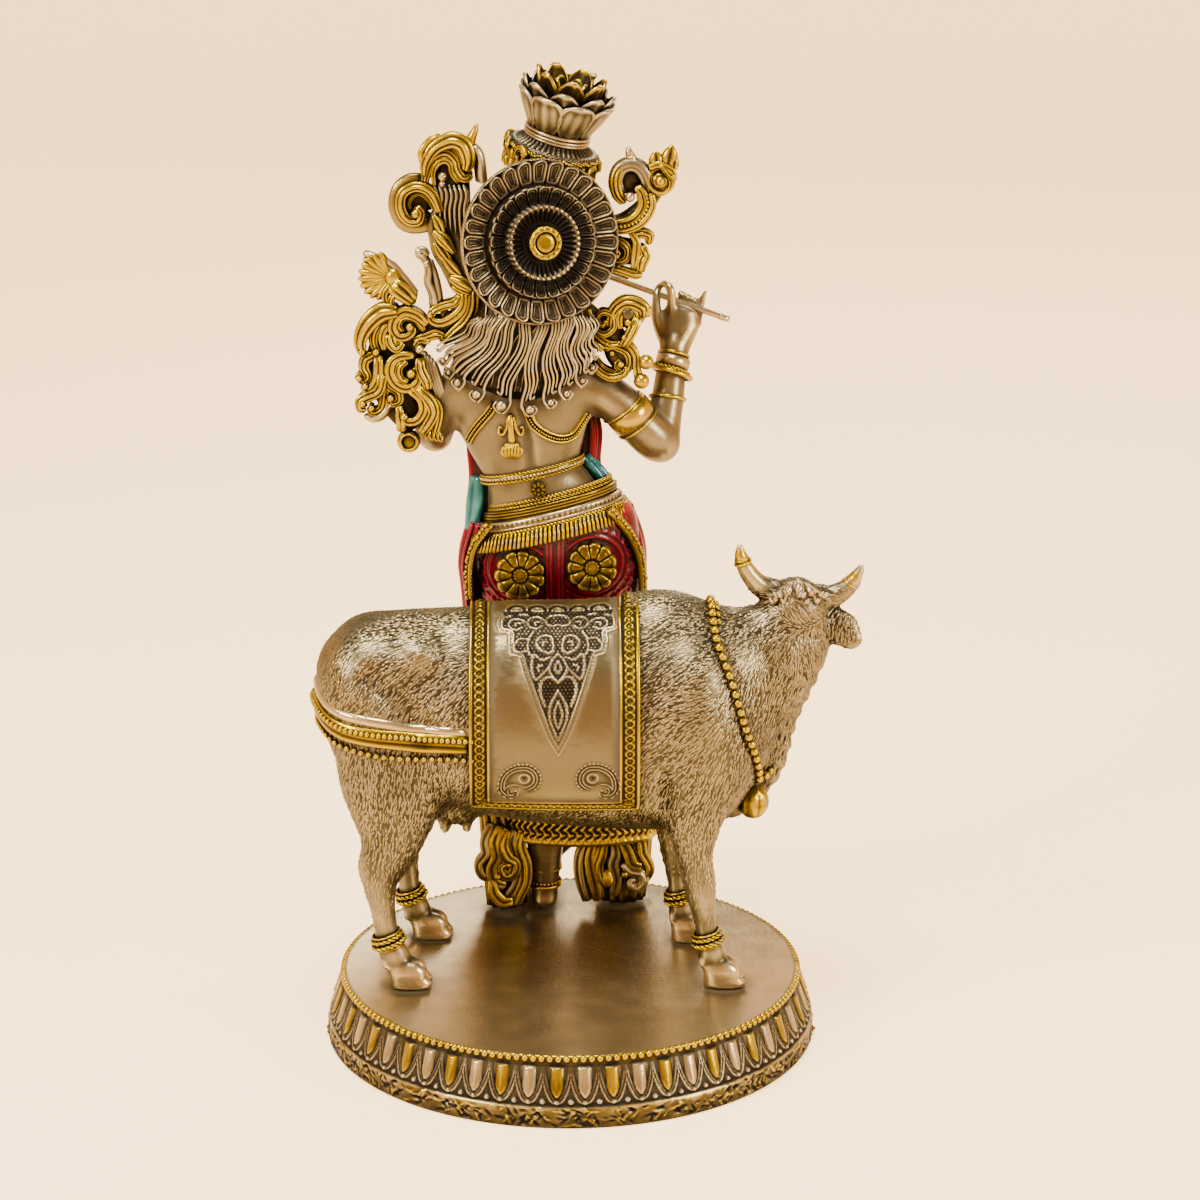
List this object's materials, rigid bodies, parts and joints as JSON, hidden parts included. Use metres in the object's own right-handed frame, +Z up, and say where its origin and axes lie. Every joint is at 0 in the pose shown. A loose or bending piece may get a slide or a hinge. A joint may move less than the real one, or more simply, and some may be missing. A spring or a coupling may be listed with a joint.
{
  "type": "krishna with cow idol",
  "caption": "Small table idol of a flute player leaning on a standing cow, cast in antique silver and gold finish, on a round lotus plinth.",
  "frame": {"origin": "middle of the plinth's flat underside", "axes": "+Z up, the figure faces -Y, the cow stands on the +Y side with its head towards -X"},
  "size_m": [0.1654, 0.15, 0.294],
  "materials": {
    "antique_silver": "warm silver plating, darkened in the recesses",
    "antique_gold": "ochre gold with dark recesses",
    "crimson_enamel": "glossy crimson lacquer",
    "teal_enamel": "glossy teal lacquer",
    "plain_silver": "smooth polished silver"
  },
  "bodies": {
    "root": {"plinth": "antique_silver", "cow": "antique_silver", "flute_player": "antique_gold", "flute": "plain_silver"}
  },
  "joints": []
}
